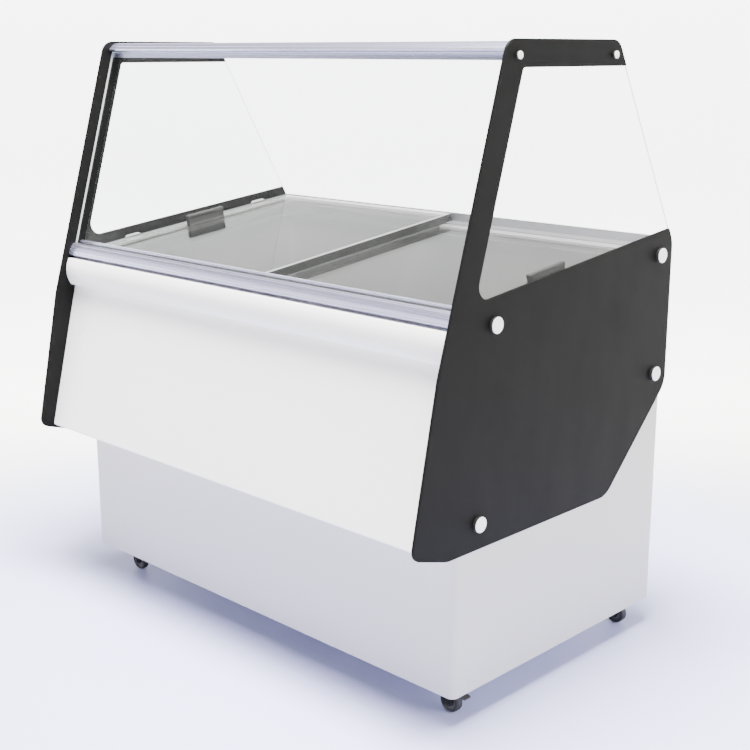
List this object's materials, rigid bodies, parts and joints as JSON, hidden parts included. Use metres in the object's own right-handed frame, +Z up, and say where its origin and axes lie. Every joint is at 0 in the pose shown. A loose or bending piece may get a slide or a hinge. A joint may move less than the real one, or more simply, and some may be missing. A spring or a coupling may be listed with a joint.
{
  "type": "display chest freezer",
  "caption": "Display chest freezer on casters: insulated cabinet, sliding glass lids, leaning front glass and black side panels that carry an open glass canopy.",
  "frame": {"origin": "centre of the overall bounding box in plan, on the floor under the casters", "axes": "+X from the left end to the right end as a customer faces the front glass, +Y from the front to the back, +Z up"},
  "size_m": [1.318, 0.8856, 1.373],
  "materials": {
    "white_paint": "satin white powder coat",
    "black_panel": "satin black enamel",
    "clear_glass": "clear toughened glass",
    "clear_pane": "clear sheet",
    "anodised": "satin anodised extrusion",
    "lid_bar": "satin anodised extrusion",
    "track": "grey extruded plastic",
    "white_plastic": "white plastic",
    "grey_plastic": "mid grey moulding",
    "black_plastic": "black moulding",
    "black_rubber": "black rubber",
    "foam": "rigid polyurethane foam",
    "tub": "embossed light sheet",
    "zinc": "zinc plated steel",
    "copper": "drawn copper tube",
    "black_steel": "black gloss paint",
    "tread": "black rubber tread"
  },
  "bodies": {
    "cabinet": {"base_pan": "zinc", "bumper_profile": "white_plastic", "cabinet_shell": "white_paint", "caster_plates": "zinc", "cladding_brackets": "zinc", "compressor": "black_steel", "compressor_grommets": "black_rubber", "condenser": "black_steel", "controller_box": "black_plastic", "drain_tube": "white_plastic", "fan_motor": "zinc", "fan_shroud": "zinc", "front_cladding": "white_paint", "front_glass": "clear_glass", "front_top_rail": "anodised", "front_track": "track", "glass_gasket": "black_rubber", "grille_screws": "zinc", "inner_liner": "tub", "insulation_foam": "foam", "left_end_rail": "track", "left_side_panel": "black_panel", "left_side_window": "clear_pane", "lid_buffers": "white_plastic", "mains_inlet": "black_plastic", "panel_bolt_caps": "white_plastic", "panel_bolt_collars": "black_plastic", "panel_bolts": "zinc", "panel_spacers": "black_plastic", "rail_bolt_caps": "white_plastic", "rail_bolt_collars": "black_plastic", "rail_bolts": "zinc", "rear_grille": "white_paint", "rear_top_rail": "anodised", "rear_track": "track", "refrigerant_lines": "copper", "right_end_rail": "track", "right_side_panel": "black_panel", "right_side_window": "clear_pane", "sill_profile": "anodised"},
    "left_lid": {"left_lid_frame": "lid_bar", "left_lid_glass": "clear_glass", "left_lid_handle": "grey_plastic"},
    "right_lid": {"right_lid_frame": "lid_bar", "right_lid_glass": "clear_glass", "right_lid_handle": "grey_plastic"},
    "fan": {"fan_rotor": "grey_plastic"},
    "knob": {"thermostat_knob": "black_plastic"},
    "drain_stopper": {"drain_plug": "black_rubber"},
    "fork_front_left": {"caster_fork_front_left": "black_steel"},
    "wheel_front_left": {"caster_wheel_front_left": "tread"},
    "pedal_front_left": {"brake_pedal_front_left": "grey_plastic"},
    "fork_front_right": {"caster_fork_front_right": "black_steel"},
    "wheel_front_right": {"caster_wheel_front_right": "tread"},
    "pedal_front_right": {"brake_pedal_front_right": "grey_plastic"},
    "fork_rear_left": {"caster_fork_rear_left": "black_steel"},
    "wheel_rear_left": {"caster_wheel_rear_left": "tread"},
    "fork_rear_right": {"caster_fork_rear_right": "black_steel"},
    "wheel_rear_right": {"caster_wheel_rear_right": "tread"}
  },
  "joints": [
    {"name": "left_lid_slide", "type": "slide", "parent": "cabinet", "child": "left_lid", "axis": [1, 0, 0], "range_m": [0, 0.53]},
    {"name": "right_lid_slide", "type": "slide", "parent": "cabinet", "child": "right_lid", "axis": [1, 0, 0], "range_m": [-0.53, 0]},
    {"name": "fan_spin", "type": "hinge", "parent": "cabinet", "child": "fan", "pos_m": [0.165, 0.33553, 0.195], "axis": [0, 1, 0], "continuous": true},
    {"name": "thermostat_turn", "type": "hinge", "parent": "cabinet", "child": "knob", "pos_m": [-0.41, 0.43553, 0.255], "axis": [0, 1, 0], "range_deg": [0, 270]},
    {"name": "drain_plug_lift", "type": "slide", "parent": "cabinet", "child": "drain_stopper", "axis": [0, 0, 1], "range_m": [0, 0.06]},
    {"name": "swivel_front_left", "type": "hinge", "parent": "cabinet", "child": "fork_front_left", "pos_m": [-0.552, -0.24047, 0.054], "axis": [0, 0, 1], "continuous": true},
    {"name": "roll_front_left", "type": "hinge", "parent": "fork_front_left", "child": "wheel_front_left", "pos_m": [-0.527, -0.24047, 0.025], "axis": [0, 1, 0], "continuous": true},
    {"name": "pedal_press_front_left", "type": "hinge", "parent": "fork_front_left", "child": "pedal_front_left", "pos_m": [-0.51, -0.24047, 0.051], "axis": [0, 1, 0], "range_deg": [0, 18]},
    {"name": "swivel_front_right", "type": "hinge", "parent": "cabinet", "child": "fork_front_right", "pos_m": [0.552, -0.24047, 0.054], "axis": [0, 0, 1], "continuous": true},
    {"name": "roll_front_right", "type": "hinge", "parent": "fork_front_right", "child": "wheel_front_right", "pos_m": [0.577, -0.24047, 0.025], "axis": [0, 1, 0], "continuous": true},
    {"name": "pedal_press_front_right", "type": "hinge", "parent": "fork_front_right", "child": "pedal_front_right", "pos_m": [0.594, -0.24047, 0.051], "axis": [0, 1, 0], "range_deg": [0, 18]},
    {"name": "swivel_rear_left", "type": "hinge", "parent": "cabinet", "child": "fork_rear_left", "pos_m": [-0.552, 0.36953, 0.054], "axis": [0, 0, 1], "continuous": true},
    {"name": "roll_rear_left", "type": "hinge", "parent": "fork_rear_left", "child": "wheel_rear_left", "pos_m": [-0.527, 0.36953, 0.025], "axis": [0, 1, 0], "continuous": true},
    {"name": "swivel_rear_right", "type": "hinge", "parent": "cabinet", "child": "fork_rear_right", "pos_m": [0.552, 0.36953, 0.054], "axis": [0, 0, 1], "continuous": true},
    {"name": "roll_rear_right", "type": "hinge", "parent": "fork_rear_right", "child": "wheel_rear_right", "pos_m": [0.577, 0.36953, 0.025], "axis": [0, 1, 0], "continuous": true}
  ]
}
